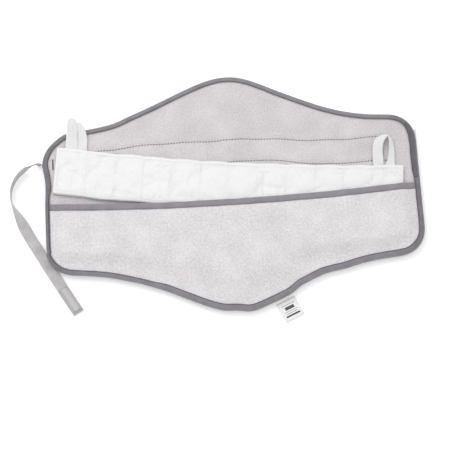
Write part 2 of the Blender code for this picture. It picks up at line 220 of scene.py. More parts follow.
def run_lengths(points):
    """Distance of each point along the line through the points."""
    return np.concatenate([[0.0], np.cumsum(np.linalg.norm(np.diff(points, axis=0), axis=1))])


def through(values, places, at):
    """Smooth values at new places along a line, by cubic pieces through the given ones."""
    slopes = np.gradient(values, places, axis=0)
    i = np.clip(np.searchsorted(places, at) - 1, 0, len(places) - 2)
    span = (places[i + 1] - places[i])[:, None]
    t = (at - places[i])[:, None] / span
    rise = values[i + 1] - values[i]
    bend = slopes[i] * span * t * (1 - t) ** 2 - slopes[i + 1] * span * t**2 * (1 - t)
    return values[i] + rise * t * t * (3 - 2 * t) + bend


def along_line(points, at):
    """Points at given distances along a line, by straight pieces."""
    places = run_lengths(points)
    return np.stack([np.interp(at, places, points[:, k]) for k in range(points.shape[1])], axis=1)


def closed_resample(loop, step):
    closed = np.vstack([loop, loop[:1]])
    length = run_lengths(closed)[-1]
    count = round(length / step)
    return along_line(closed, np.arange(count) * length / count)


def loop_normals(loop):
    """Outward normals of an anticlockwise closed loop in plan."""
    run = np.roll(loop, -1, axis=0) - np.roll(loop, 1, axis=0)
    run /= np.linalg.norm(run, axis=1)[:, None]
    return np.stack([run[:, 1], -run[:, 0]], axis=1)


def rounded_loop(loop, passes):
    for _ in range(passes):
        loop = loop / 2 + (np.roll(loop, 1, axis=0) + np.roll(loop, -1, axis=0)) / 4
    return loop


def wrap_outline():
    """The wrap's outer edge in plan, anticlockwise, from the side walls of the two outer fleeces."""
    seam_points = 0.004
    points = [p for p in wall_points("pocket_outer_fleece") if p[1] < -seam_points]
    points += [p for p in wall_points("flap_outer_fleece") if p[1] > seam_points]
    points.sort(key=lambda p: math.atan2(p[1], p[0]))
    loop = rounded_loop(closed_resample(np.array(points), OUTLINE_STEP), 6)
    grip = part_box("flap_edge_binding")[1].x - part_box("flap_outer_fleece")[1].x
    loop += loop_normals(loop) * grip
    return loop + loop_normals(loop) * edge_pull(loop)[:, None]


def edge_pull(loop):
    """How far the soft edge lies outside (or inside) the pattern's line, in plan."""
    x, y = loop[:, 0], loop[:, 1]
    far = 0.0040 * ease((x + 0.215) / 0.050) * ease((0.100 - x) / 0.090) * (y > 0.1)
    near = -0.0024 * ease((x + 0.200) / 0.050) * ease((0.030 - x) / 0.030)
    near -= 0.0028 * np.exp(-(((x + 0.008) / 0.016) ** 2))
    hump = 0.0018 + 0.0052 * ease((x - 0.088) / 0.027)
    near -= hump * ease((x - 0.010) / 0.050) * ease((0.195 - x) / 0.050)
    near += 0.0020 * near_left(x)
    corner = -0.0045 * np.exp(-((x + 0.318) ** 2 + (y - 0.122) ** 2) / 0.026**2)
    root = 0.0034 * np.exp(-(((y - 0.071) / 0.018) ** 2)) * (x < -0.3)
    waist = -0.0014 * np.exp(-(((y - 0.028) / 0.022) ** 2)) * (x < -0.3)
    return far + near * (y < -0.1) + corner + root + waist


def near_left(x):
    """Share by which a place belongs to the near left stretch, where the tape is drawn tight."""
    return ease((-0.120 - x) / 0.040)


def depth_inside(plan, loop):
    """Distance of plan points from a closed loop, positive inside it."""
    a = loop
    run = np.roll(loop, -1, axis=0) - a
    depths = []
    for part in np.array_split(plan, max(1, len(plan) // 2000)):
        away = part[:, None] - a
        t = np.clip((away * run).sum(2) / (run * run).sum(1), 0, 1)
        gap = np.linalg.norm(away - t[..., None] * run, axis=2).min(1)
        above = a[:, 1] > part[:, None, 1]
        crosses = above != np.roll(above, -1, axis=1)
        with np.errstate(divide="ignore", invalid="ignore"):
            meets = a[:, 0] + (part[:, None, 1] - a[:, 1]) * run[:, 0] / run[:, 1]
        inside = (crosses & (part[:, None, 0] < meets)).sum(1) % 2 == 1
        depths.append(np.where(inside, gap, -gap))
    return np.concatenate(depths)


def sheet(loop, pitch):
    """Points, triangles and rim edges of a flat sheet inside a closed loop."""
    low, high = loop.min(0), loop.max(0)
    row_gap = pitch * math.sqrt(3) / 2
    rows = np.arange(low[1] + row_gap / 2, high[1], row_gap)
    columns = np.arange(low[0], high[0], pitch)
    spots = np.array([(x + (i % 2) * pitch / 2, y) for i, y in enumerate(rows) for x in columns])
    spots = spots[depth_inside(spots, loop) > pitch * 0.6]
    corners = [Vector(p) for p in np.vstack([loop, spots]).tolist()]
    rim = [(i, (i + 1) % len(loop)) for i in range(len(loop))]
    made = delaunay_2d_cdt(corners, rim, [], 1, 1e-7)
    points, triangles = np.array([tuple(v) for v in made[0]]), [tuple(f) for f in made[2]]
    sides = {(f[k], f[(k + 1) % 3]) for f in triangles for k in range(3)}
    return points, triangles, sorted(side for side in sides if side[::-1] not in sides)


def add_mesh(name, points, faces, uv, material):
    mesh = bpy.data.meshes.new(name)
    mesh.from_pydata(np.asarray(points).tolist(), [], faces)
    corners = np.empty(len(mesh.loops), np.int32)
    mesh.loops.foreach_get("vertex_index", corners)
    layer = mesh.uv_layers.new(name="lay")
    layer.data.foreach_set("uv", np.asarray(uv, np.float32)[corners].ravel())
    mesh.shade_smooth()
    mesh.materials.append(material)
    piece = bpy.data.objects.new(name, mesh)
    bpy.context.collection.objects.link(piece)
    return piece


def closed_sheet(name, loop, top, bottom, material, pitch=SHEET_PITCH):
    """A cloth sheet with a top, an underside and a rim. top and bottom give heights for plan points."""
    plan, triangles, rim = sheet(loop, pitch)
    count = len(plan)
    points = np.vstack([np.c_[plan, top(plan)], np.c_[plan, bottom(plan)]])
    faces = list(triangles)
    faces += [tuple(count + i for i in reversed(f)) for f in triangles]
    faces += [(b, a, count + a, count + b) for a, b in rim]
    return add_mesh(name, points, faces, np.vstack([plan, plan]), material)


def lofted(name, rings, uv, material, closed=False):
    """A body through rings of equal size, either closed on itself or capped at both ends."""
    rows, sides = rings.shape[:2]
    faces = []
    for i in range(rows if closed else rows - 1):
        near, far = i * sides, (i + 1) % rows * sides
        for k in range(sides):
            m = (k + 1) % sides
            faces.append((near + k, near + m, far + m, far + k))
    if not closed:
        faces.append(tuple(reversed(range(sides))))
        faces.append(tuple(range((rows - 1) * sides, rows * sides)))
    return outward(add_mesh(name, rings.reshape(-1, 3), faces, uv.reshape(-1, 2), material))


def outward(piece):
    """The piece, with every face turned outward."""
    bm = bmesh.new()
    bm.from_mesh(piece.data)
    bmesh.ops.recalc_face_normals(bm, faces=bm.faces)
    bm.to_mesh(piece.data)
    bm.free()
    return piece


def belongs(piece, body, slot, *nodes):
    """The piece moves with a body and stands for the CAD nodes. Its slot is not used."""
    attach(piece, body)
    if nodes:
        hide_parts(*nodes)


def ripple(plan, scale, seed):
    """Smooth noise between about -1 and 1 over plan points."""
    return np.array([noise.noise((x * scale, y * scale, seed)) for x, y in plan.tolist()]) * 2


def line_noise(places, scale, seed):
    """Smooth noise between about -0.5 and 0.5 at places along a line."""
    return np.array([noise.noise((s * scale, seed, 0.0)) for s in places])


# ---- Materials ------------------------------------------------------------------------------------


def node(tree, kind, inputs, **settings):
    """Adds a shader node. An input's value is a number, a colour or another node's output."""
    made = tree.nodes.new(kind)
    for key, value in settings.items():
        setattr(made, key, value)
    for key, value in inputs.items():
        if isinstance(value, bpy.types.NodeSocket):
            tree.links.new(value, made.inputs[key])
        else:
            made.inputs[key].default_value = value
    return made


def math_node(operation, a, b=0.0):
    tree = (a if isinstance(a, bpy.types.NodeSocket) else b).id_data
    return node(tree, "ShaderNodeMath", {0: a, 1: b}, operation=operation).outputs[0]


def times(a, b):
    return math_node("MULTIPLY", a, b)


def plus(a, b):
    return math_node("ADD", a, b)


def part_of_each(a, b, share):
    """A share of a, and the rest of b."""
    return plus(times(a, share), times(b, 1 - share))


def wave(value, period):
    return math_node("SINE", times(value, 2 * math.pi / period))


def along_across(uv):
    """Distances along and across a piece, in metres."""
    split = node(uv.id_data, "ShaderNodeSeparateXYZ", {"Vector": uv})
    return split.outputs["X"], split.outputs["Y"]


def stretched(uv, along, across):
    return node(uv.id_data, "ShaderNodeMapping", {"Vector": uv, "Scale": (along, across, 1)}).outputs[0]


def blotches(uv, size, detail=2.0, rough=0.5):
    """Noise with features of about the given size."""
    inputs = {"Vector": uv, "Scale": 1 / size, "Detail": detail, "Roughness": rough}
    return node(uv.id_data, "ShaderNodeTexNoise", inputs, noise_dimensions="2D").outputs["Fac"]


def cells(uv, per_metre, randomness=1.0):
    """Distance from the middle of the nearest of many little cells."""
    inputs = {"Vector": uv, "Scale": per_metre, "Randomness": randomness}
    return node(uv.id_data, "ShaderNodeTexVoronoi", inputs, voronoi_dimensions="2D").outputs["Distance"]


def ramp(share, first, last, low, high):
    """Colour that goes from first to last as share goes from low to high."""
    made = node(share.id_data, "ShaderNodeValToRGB", {"Fac": share})
    for element, colour, position in zip(made.color_ramp.elements, (first, last), (low, high)):
        element.position = position
        element.color = (*colour, 1)
    return made.outputs["Color"]


def shades(share, colour, dark, light, low=0.3, high=0.7):
    """The colour times dark to the colour times light, as share goes from low to high."""
    first, last = (tuple(min(1.0, c * factor) for c in colour) for factor in (dark, light))
    return ramp(share, first, last, low, high)


def towards(colour, other, share):
    inputs = {"Fac": share, "Color1": colour, "Color2": (*other, 1)}
    return node(colour.id_data, "ShaderNodeMixRGB", inputs).outputs["Color"]


def within(value, low, high, most=1.0):
    """A share that rises from 0 to most as a value goes from low to high."""
    inputs = {"Value": value, "From Min": low, "From Max": high, "To Max": most}
    return node(value.id_data, "ShaderNodeMapRange", inputs).outputs["Result"]


def start_material(name, roughness, sheen=0.0, specular=0.2):
    """A material, its shader, and the coordinates that its pattern is drawn in."""
    material = bpy.data.materials.new(name)
    material.use_nodes = True
    shader = material.node_tree.nodes["Principled BSDF"]
    shader.inputs["Roughness"].default_value = roughness
    shader.inputs["Sheen Weight"].default_value = sheen
    shader.inputs["Sheen Roughness"].default_value = 0.6
    shader.inputs["Specular IOR Level"].default_value = specular
    return material, shader, node(material.node_tree, "ShaderNodeTexCoord", {}).outputs["UV"]


def finish_material(shader, colour, height, depth):
    tree = shader.id_data
    bump = node(tree, "ShaderNodeBump", {"Height": height, "Distance": depth, "Strength": 1.0})
    tree.links.new(colour, shader.inputs["Base Color"])
    tree.links.new(bump.outputs["Normal"], shader.inputs["Normal"])


def terry_material(name, colour, loop_size):
    """Terry towelling: crowded little loops, mottled where the pile leans."""
    material, shader, uv = start_material(name, 0.95, sheen=0.35, specular=0.1)
    loops = math_node("SUBTRACT", 1.0, cells(uv, 1 / loop_size))
    tufts = blotches(uv, loop_size * 1.8, 4.0, 0.70)
    lean = blotches(uv, 0.045, 3.0)
    colour = shades(part_of_each(tufts, lean, 0.70), colour, 0.84, 1.13, 0.335, 0.665)
    finish_material(shader, colour, plus(times(loops, 0.5), tufts), 0.0013)
    return material


def fleece_material(name, colour):
    """Brushed fleece: short fibres laid mostly along the wrap, with rubbed patches."""
    material, shader, uv = start_material(name, 0.9, sheen=0.5, specular=0.1)
    nap = blotches(stretched(uv, 0.45, 1.0), 0.0022, 5.0, 0.7)
    rubbed = blotches(uv, 0.060, 3.0, 0.6)
    colour = shades(part_of_each(nap, rubbed, 0.55), colour, 0.88, 1.08, 0.32, 0.68)
    finish_material(shader, colour, nap, 0.0007)
    return material


def stitch_and_shade_edge(along, across, colour):
    """Darkens a binding's inner edge in dashes: dark stitches, and painted shade where each stitch draws
    the tape down.
    """
    edge = within(across, BINDING_WIDTH - 0.0019, BINDING_WIDTH - 0.0011)
    drawn = plus(times(wave(along, BINDING_STITCH), 0.25), 0.40)
    # painted shade and dark stitches together, dashed at the stitch pitch
    return towards(colour, TAPE_SHADE_AND_THREAD, times(edge, drawn))


def painted_shade_at_ends(colour):
    """Painted shade on the binding towards the wrap's two ends, in mottled patches."""
    place = node(colour.id_data, "ShaderNodeTexCoord", {}).outputs["Object"]
    ends = within(math_node("ABSOLUTE", along_across(place)[0]), 0.285, 0.315, 0.28)
    # painted shade, mottled, rising towards both ends
    return towards(colour, TAPE_SHADE_AND_THREAD, times(ends, plus(blotches(place, 0.006), 0.5)))


def tape_material(name, colour, rib, wear=0.10, painted_edge_shade=False):
    """Woven tape: ribs across its run, fine warp lines along it, and faded patches."""
    material, shader, uv = start_material(name, 0.8, sheen=0.15)
    along, across = along_across(uv)
    weave = times(wave(along, rib), wave(across, rib * 0.8))
    fuzz = blotches(uv, 0.0012, 3.0)
    fade = blotches(uv, 0.018, 3.0)
    colour = shades(part_of_each(fade, fuzz, 0.6), colour, 1 - wear, 1 + wear)
    # painted shade at the inner edge and towards the ends, with dark stitch dashes
    if painted_edge_shade:
        colour = stitch_and_shade_edge(along, across, painted_shade_at_ends(colour))
    finish_material(shader, colour, plus(times(weave, 0.35), fuzz), 0.00035)
    return material


def canvas_material(name, colour):
    """Plain-woven cotton: over-and-under threads, slubs and pressed creases."""
    material, shader, uv = start_material(name, 0.85, sheen=0.15, specular=0.15)
    warp, weft = (wave(value, 0.0011) for value in along_across(uv))
    slubs = blotches(stretched(uv, 0.3, 1.0), 0.0016, 3.0)
    crease = blotches(uv, 0.024, 4.0, 0.6)
    height = plus(plus(times(times(warp, weft), 0.12), times(slubs, 0.3)), times(crease, 1.1))
    finish_material(shader, shades(slubs, colour, 0.965, 1.02), height, 0.0009)
    return material


def foam_material(name, colour):
    material, shader, uv = start_material(name, 1.0, specular=0.1)
    pores = cells(uv, 900)
    finish_material(shader, shades(pores, colour, 0.8, 1.0, 0.0, 1.0), pores, 0.0006)
    return material


def thread_material(name, colour):
    """Twisted sewing thread."""
    material, shader, uv = start_material(name, 0.6, sheen=0.1, specular=0.4)
    turned = node(uv.id_data, "ShaderNodeMapping", {"Vector": uv, "Rotation": (0, 0, 0.6)}).outputs[0]
    ply = wave(along_across(turned)[0], 0.0007)
    finish_material(shader, shades(blotches(uv, 0.012), colour, 0.88, 1.12), ply, 0.0001)
    return material


def hook_material(name, colour):
    """Hook tape: rows of tiny stiff hooks."""
    material, shader, uv = start_material(name, 0.55, specular=0.45)
    tips = math_node("SUBTRACT", 1.0, cells(uv, 700, 0.35))
    finish_material(shader, shades(tips, colour, 0.82, 1.08, 0.2, 0.9), tips, 0.0008)
    return material


def inside(value, centre, reach):
    """1 where a value is within reach of a centre, else 0."""
    return math_node("LESS_THAN", math_node("ABSOLUTE", math_node("SUBTRACT", value, centre)), reach)


def label_material(name, colour, ink_colour):
    """Satin label with a plain block and bars where a real one has its print."""
    material, shader, uv = start_material(name, 0.5, specular=0.35)
    along, across = along_across(uv)
    marks = inside(along, *LABEL_MARKS[0][:2])
    marks = times(marks, inside(across, 0.0, LABEL_MARKS[0][2]))
    for centre, reach, width in LABEL_MARKS[1:]:
        marks = plus(marks, times(inside(along, centre, reach), inside(across, 0.0, width)))
    fuzz = blotches(uv, 0.0030, 3.0)
    ink = times(marks, plus(fuzz, 0.55))
    height = plus(times(wave(across, 0.0009), 0.3), fuzz)
    finish_material(shader, ramp(ink, colour, ink_colour, 0.1, 0.9), height, 0.0002)
    return material


MATERIALS = {
    "pocket_terry": terry_material("pocket_terry", (0.722, 0.708, 0.720), 0.0021),
    "flap_terry": terry_material("flap_terry", (0.655, 0.620, 0.629), 0.0017),
    "fleece": fleece_material("brushed_fleece", (0.715, 0.690, 0.695)),
    "foam": foam_material("foam", (0.62, 0.60, 0.58)),
    # the binding tape carries painted shade at its stitched inner edge and at the wrap's ends
    "binding": tape_material("binding_tape", (0.238, 0.228, 0.250), 0.0016, wear=0.14, painted_edge_shade=True),
    "mouth_tape": tape_material("mouth_tape", (0.262, 0.252, 0.272), 0.0016, wear=0.12),
    "binding_thread": thread_material("binding_thread", (0.085, 0.080, 0.090)),
    "seam_thread": thread_material("seam_thread", (0.060, 0.056, 0.058)),
    "webbing": tape_material("strap_webbing", (0.500, 0.482, 0.486), 0.0014, wear=0.16),
    "band": fleece_material("landing_loop", (0.680, 0.655, 0.655)),
    "canvas": canvas_material("pack_canvas", (0.850, 0.850, 0.856)),
    "white_thread": thread_material("white_thread", (0.850, 0.850, 0.850)),
    "loop_tape": tape_material("loop_tape", (0.775, 0.768, 0.772), 0.0015, wear=0.05),
    "hook_tape": hook_material("hook_tape", (0.570, 0.555, 0.555)),
    "label": label_material("label_satin", (0.830, 0.830, 0.825), (0.080, 0.080, 0.085)),
}


# ---- How the layers lie ---------------------------------------------------------------------------

OUTLINE = wrap_outline()


def lie(plan):
    """How far the soft wrap stands off the table: a slow wave and a lifted far right corner."""
    x, y = plan[:, 0], plan[:, 1]
    wave = 0.5 + 0.5 * np.sin(13 * x + 1.1) * np.cos(15 * y + 0.4)
    corner = ease((x - 0.235) / 0.10) * ease((y - 0.040) / 0.09)
    return WAVE_HEIGHT * wave + CORNER_LIFT * corner


def band_seams():
    """The two rows of stitches that hold the landing band, as plan lines on the flap's lining."""
    low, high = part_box("landing_band")
    centre = (low.y + high.y) / 2
    x = np.linspace(low.x + 0.060, high.x - 0.045, 60)
    taper = 0.56 + 0.44 * ease((x - low.x) / 0.25)
    reach = (high.y - low.y) / 2 * taper * 0.92
    wander = 0.0012 * np.sin(31 * x) + 0.0008 * np.sin(77 * x + 1)
    upper = np.c_[x, centre + reach + wander - 0.0115 * ease((x + 0.02) / 0.24)]
    lower = np.c_[x, centre - reach + wander * 0.8 + 0.005 - 0.0135 * ease((x - 0.04) / 0.15)]
    return upper, lower


BAND_SEAMS = band_seams()

# Dents in the lining by the right loop: place, reach across x and y, depth
LINING_DENTS = (
    ((0.287, 0.099), (0.007, 0.009), 0.0026),
    ((0.247, 0.066), (0.016, 0.014), 0.0016),
    ((0.300, 0.062), (0.006, 0.024), 0.0014),
)


def lining_dents(plan):
    dent = np.zeros(len(plan))
    for place, reach, depth in LINING_DENTS:
        away = (plan - place) / reach
        dent += depth * np.exp(-(away**2).sum(axis=1))
    return dent


def seam_groove(plan, depth, width):
    """The dent that a row of stitches pulls into the lining."""
    dent = np.zeros(len(plan))
    for line in BAND_SEAMS:
        level = np.interp(plan[:, 0], line[:, 0], line[:, 1], left=9.0, right=9.0)
        dent = np.maximum(dent, depth * np.exp(-(((plan[:, 1] - level) / width) ** 2)))
    return dent


def lining_top(plan):
    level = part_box("flap_inner_terry")[1].z
    depth = depth_inside(plan, OUTLINE)
    pillow = LINING_PILLOW * ease((depth - BINDING_WIDTH) / 0.022)
    pinch = LINING_PINCH * np.exp(-(((depth - BINDING_WIDTH) / 0.0035) ** 2))
    uneven = 0.00035 * ripple(plan, 45, 2.0) + 0.00018 * ripple(plan, 190, 5.0)
    inner = ease((depth - BINDING_WIDTH) / 0.010)
    dents = seam_groove(plan, 0.0014, 0.0034) + lining_dents(plan)
    return level + lie(plan) + pillow - pinch + uneven * inner - dents


def flat_level(node, k):
    """A function that gives the height of a CAD layer's underside (k 0) or top (k 1), as it lies."""
    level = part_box(node)[k].z
    return lambda plan: level + lie(plan)


def bend_at_fold(piece):
    """Cloth that crosses the fold: its place is baked into its mesh."""
    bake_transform(piece)


def fleece_underside(plan):
    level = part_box("flap_outer_fleece")[0].z
    depth = depth_inside(plan, OUTLINE)
    pinch = 0.0005 * np.exp(-(((depth - BINDING_WIDTH) / 0.0035) ** 2))
    uneven = 0.00025 * ripple(plan, 60, 9.0) + 0.00012 * ripple(plan, 210, 3.0)
    return level + lie(plan) + pinch + np.abs(uneven) * ease((depth - BINDING_WIDTH) / 0.010)


def cover_layers():
    """Lining, foam and outer fleece, each one sheet across the fold."""
    loop = OUTLINE - loop_normals(OUTLINE) * RIM_INSET
    lining = (lining_top, flat_level("flap_inner_terry", 0))
    foam = (flat_level("flap_foam_core", 1), flat_level("flap_foam_core", 0))
    fleece = (flat_level("flap_outer_fleece", 1), fleece_underside)
    layers = (
        ("lining_terry", "inner_terry", lining, "flap_terry", LINING_PITCH),
        ("foam_pad", "foam_core", foam, "foam", SHEET_PITCH),
        ("outer_fleece", "outer_fleece", fleece, "fleece", SHEET_PITCH),
    )
    for name, part, (top, bottom), slot, pitch in layers:
        piece = closed_sheet(name, loop, top, bottom, MATERIALS[slot], pitch)
        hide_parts("pocket_" + part, "flap_" + part)
        bend_at_fold(piece)


# ---- Tapes, bindings and stitches -----------------------------------------------------------------


def stitches(name, line, normals, pitch, material, share=0.72, radius=THREAD_RADIUS, uneven=0.10):
    """A row of thread stitches along a line, each one arched out of the cloth and sunk at its ends."""
    places = run_lengths(line)
    count = max(1, int(places[-1] / pitch))
    starts = (np.arange(count) + 0.5 - share / 2) * places[-1] / count
    a = along_line(line, starts)
    b = along_line(line, starts + share * places[-1] / count)
    out = normals_at(normals, places, starts)
    side = np.cross(out, b - a)
    side /= np.linalg.norm(side, axis=1)[:, None]
    shift = line_noise(range(count), 0.37, 1.7) * uneven * pitch
    a = a + side * shift[:, None]
    b = b - side * shift[:, None]
    rings = np.empty((count, len(STITCH_SPANS), STITCH_SIDES, 3))
    uv = np.empty((count, len(STITCH_SPANS), STITCH_SIDES, 2))
    for k, span in enumerate(STITCH_SPANS):
        middle = a + (b - a) * span + out * radius * STITCH_ARCH[k]
        for m in range(STITCH_SIDES):
            angle = m * 2 * math.pi / STITCH_SIDES
            around = side * math.cos(angle) + out * math.sin(angle)
            rings[:, k, m] = middle + around * radius * STITCH_GIRTH[k]
            uv[:, k, m, 0] = starts + span * share * pitch
            uv[:, k, m, 1] = angle * radius
    return add_mesh(name, rings.reshape(-1, 3), stitch_faces(count), uv.reshape(-1, 2), material)


def stitch_faces(count):
    """Faces of a row of stitches: a tube with two capped ends for each one."""
    last = (len(STITCH_SPANS) - 1) * STITCH_SIDES
    faces = []
    for n in range(count):
        base = n * len(STITCH_SPANS) * STITCH_SIDES
        for ring in range(base, base + last, STITCH_SIDES):
            for m in range(STITCH_SIDES):
                i, j = ring + m, ring + (m + 1) % STITCH_SIDES
                faces.append((i, j, j + STITCH_SIDES, i + STITCH_SIDES))
        faces.append(tuple(base + m for m in reversed(range(STITCH_SIDES))))
        faces.append(tuple(base + last + m for m in range(STITCH_SIDES)))
    return faces


def normals_at(normals, places, at):
    found = np.stack([np.interp(at, places, normals[:, k]) for k in range(3)], axis=1)
    return found / np.linalg.norm(found, axis=1)[:, None]


def up_normals(line):
    return np.tile([0.0, 0.0, 1.0], (len(line), 1))


def binding_levels(y):
    """Underside and top of the edge binding, which is higher where it also grips the pocket's panel."""
    pocket_low, pocket_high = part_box("pocket_edge_binding")
    flap_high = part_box("flap_edge_binding")[1]
    share = ease((0.012 - y) / 0.024)
    return pocket_low.z, flap_high.z + (pocket_high.z - flap_high.z) * share


def binding_width(loop):
    """Width of the tape round the edge. At the flap's right end it is turned, and shows more of itself."""
    x, y = loop[:, 0], loop[:, 1]
    turned = ease((x - 0.295) / 0.025) * ease(y / 0.025) * ease((0.125 - y) / 0.035)
    places = run_lengths(loop)
    tight = 0.0024 * near_left(x) * ease((0.03 - y) / 0.03)
    ragged = turned * (0.0026 + 0.0014 * line_noise(places, 260, 8.0))
    return BINDING_WIDTH + 0.0004 * line_noise(places, 55, 3.0) + ragged - tight


def binding_section(width, middle, half):
    """Insets and heights round the tape: a stitched leg above and below, a round back, a hollow inside."""
    stitch = BINDING_STITCH_INSET
    leg = ((0.0, -0.35), (0.0005, -0.05), (0.0010, 0.0), (stitch, -0.42), (stitch + 0.0009, 0.04))
    upper, lower = (
        [(width - d, middle + face * (half + dz * 0.001)) for d, dz in leg]
        + [((width + BINDING_BACK) / 2, middle + face * (half + 0.00012))]
        for face in (1, -1)
    )
    tight = half - TAPE * 0.9
    turn = np.linspace(math.pi / 2, -math.pi / 2, 9)
    back = [(BINDING_BACK * (1 - math.cos(a)) + 0 * width, middle + half * math.sin(a)) for a in turn]
    hollow = [
        (TAPE + BINDING_BACK * (1 - math.cos(a)) + 0 * width, middle + tight * math.sin(a))
        for a in turn[::-2]
    ]
    return upper + back + lower[::-1] + [(width, middle - tight)] + hollow + [(width, middle + tight)]


def edge_binding():
    """Tape folded round the whole edge, with a row of stitches on either leg."""
    normals = loop_normals(OUTLINE)
    places = run_lengths(OUTLINE)
    low, top = binding_levels(OUTLINE[:, 1])
    middle, half = (low + top) / 2, (top - low) / 2
    rise = lie(OUTLINE)
    width = binding_width(OUTLINE)
    section = binding_section(width, middle, half)
    rings = np.stack([np.c_[OUTLINE - normals * inset[:, None], z + rise] for inset, z in section], axis=1)
    uv = np.stack([np.c_[places, inset] for inset, _ in section], axis=1)
    piece = lofted("edge_binding", rings, uv, MATERIALS["binding"], closed=True)
    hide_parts("pocket_edge_binding", "flap_edge_binding")
    bend_at_fold(piece)
    for name, face in (("binding_stitches_top", 1), ("binding_stitches_under", -1)):
        inset = (width - BINDING_STITCH_INSET)[:, None]
        line = np.c_[OUTLINE - normals * inset, middle + face * (half - 0.00030) + rise]
        line = np.vstack([line, line[:1]])
        thread = MATERIALS["binding_thread"]
        normals_out = up_normals(line) * face
        row = stitches(name, line, normals_out, BINDING_STITCH, thread, share=0.82, radius=0.00044)
        bend_at_fold(row)


def turned_stitches():
    """Ragged dark stitches over the turned tape at the flap's right end."""
    _, top = binding_levels(OUTLINE[:, 1])
    x, y = OUTLINE[:, 0], OUTLINE[:, 1]
    part = (x > 0.300) & (y > 0.004) & (y < 0.118)
    for n, inset in enumerate((0.0050, 0.0078)):
        plan = (OUTLINE - loop_normals(OUTLINE) * inset)[part]
        order = np.argsort(plan[:, 1])
        line = np.c_[plan, top[part] + lie(OUTLINE[part]) + 0.0001][order]
        thread = MATERIALS["seam_thread"]
        row = stitches(
            f"turned_tape_seam_{n + 1}", line, up_normals(line), 0.0044, thread,
            share=0.55, radius=0.0008, uneven=0.5,
        )
        belongs(row, "flap_half", "binding")


def tape_body(name, sections, material, step=TAPE_STEP, crown=0.12, edge_wave=0.0, laid=False):
    """A woven tape along CAD sections: rounded edges, a little crown, its ends cut square. A laid tape is
    sewn flat, and lies with the wrap at every point."""
    centres, wides, thicks = sections
    places = run_lengths(centres)
    at = np.linspace(0, places[-1], max(3, round(places[-1] / step) + 1))
    centre = through(centres, places, at)
    wide = through(wides, places, at)
    thick = through(thicks, places, at)
    fullness = TAPE_FULLNESS + crown * (1 - TAPE_ACROSS**2)
    sway = line_noise(at, 60, 7.7) * edge_wave
    upper = len(TAPE_ACROSS)
    rings = np.empty((len(at), 2 * upper, 3))
    uv = np.empty((len(at), 2 * upper, 2))
    width = np.linalg.norm(wide, axis=1)
    for k in range(2 * upper):
        turn = k if k < upper else 2 * upper - 1 - k
        u, side = TAPE_ACROSS[turn], thick if k < upper else -thick
        rings[:, k] = centre + wide * (u * (1 + sway))[:, None] + side * fullness[turn]
        uv[:, k, 0] = at
        uv[:, k, 1] = u * width
        if laid:
            rings[:, k, 2] += lie(rings[:, k, :2])
    return lofted(name, rings, uv, material)


def lifted(sections):
    """Sections raised by how the wrap lies under them."""
    centres, wides, thicks = sections
    centres = centres.copy()
    centres[:, 2] += lie(centres[:, :2])
    return centres, wides, thicks


def side_row(sections, inset, face):
    """A line along a tape, a distance in from one edge, with the normals of one face."""
    centres, wides, thicks = sections
    places = run_lengths(centres)
    at = np.linspace(0, places[-1], max(3, round(places[-1] / TAPE_STEP) + 1))
    centre, wide, thick = (through(v, places, at) for v in (centres, wides, thicks))
    unit = wide / np.linalg.norm(wide, axis=1)[:, None]
    reach = np.linalg.norm(wide, axis=1) - abs(inset)
    line = centre + unit * (math.copysign(1, inset) * reach)[:, None] + thick * face
    out = thick * face
    return line, out / np.linalg.norm(out, axis=1)[:, None]


def side_seams(name, sections, insets, up, body, slot, pitch, thread, radius=THREAD_RADIUS, laid=False):
    """Rows of stitches along both edges of a tape, on its upper face or its lower one."""
    face = 1 if (sections[2][0][2] > 0) == up else -1
    for n, inset in enumerate(insets):
        line, out = side_row(sections, inset, face)
        if laid:
            line[:, 2] += lie(line[:, :2])
        row = stitches(f"{name}_{n + 1}", line, out, pitch, MATERIALS[thread], radius=radius)
        belongs(row, body, slot)


# ---- Pocket ---------------------------------------------------------------------------------------


def mouth_line():
    """The pocket panel's free edge in plan, from left to right, from the CAD panel's far corners."""
    far = {}
    panel = merged("pocket_panel")
    for v in panel.verts:
        x = round(v.co.x, 4)
        far[x] = max(far.get(x, -9.0), v.co.y)
    line = np.array(sorted(far.items()))
    x = np.linspace(line[0, 0], line[-1, 0], 180)
    line = np.c_[x, np.interp(x, line[:, 0], line[:, 1])]
    # Seen from the camera's height, the panel's fall to the binding would bend the straight mouth.
    line[:, 1] += np.where(x < 0, 0.0045, 0.0030) * (1 - panel_rise(line))
    return line


def panel_rise(plan):
    """Share of the panel's full height: it leaves the binding low and swells over the pack."""
    depth = depth_inside(plan, OUTLINE)
    run = 0.0245 + 0.026 * ease((-0.095 - plan[:, 1]) / 0.05)
    return ease((depth - BINDING_WIDTH - 0.002) / run)


MOUTH = mouth_line()


def panel_under(plan):
    low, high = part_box("pocket_panel")
    swell = panel_rise(plan)
    depth = depth_inside(plan, OUTLINE)
    rest = high.z - PANEL_THICKNESS - low.z
    from_mouth = np.interp(plan[:, 0], MOUTH[:, 0], MOUTH[:, 1]) - plan[:, 1]
    sag = 0.0022 * ease((from_mouth - 0.085) / 0.07)
    soft = 0.0006 * ripple(plan, 22, 1.0) + 0.0004 * ripple(plan, 55, 8.0)
    uneven = 0.00016 * ripple(plan, 200, 4.0)
    pinch = 0.0004 * np.exp(-(((depth - BINDING_WIDTH) / 0.003) ** 2))
    return low.z + lie(plan) + (rest - sag + soft) * swell + uneven - pinch


def panel_top(plan):
    return panel_under(plan) + PANEL_THICKNESS


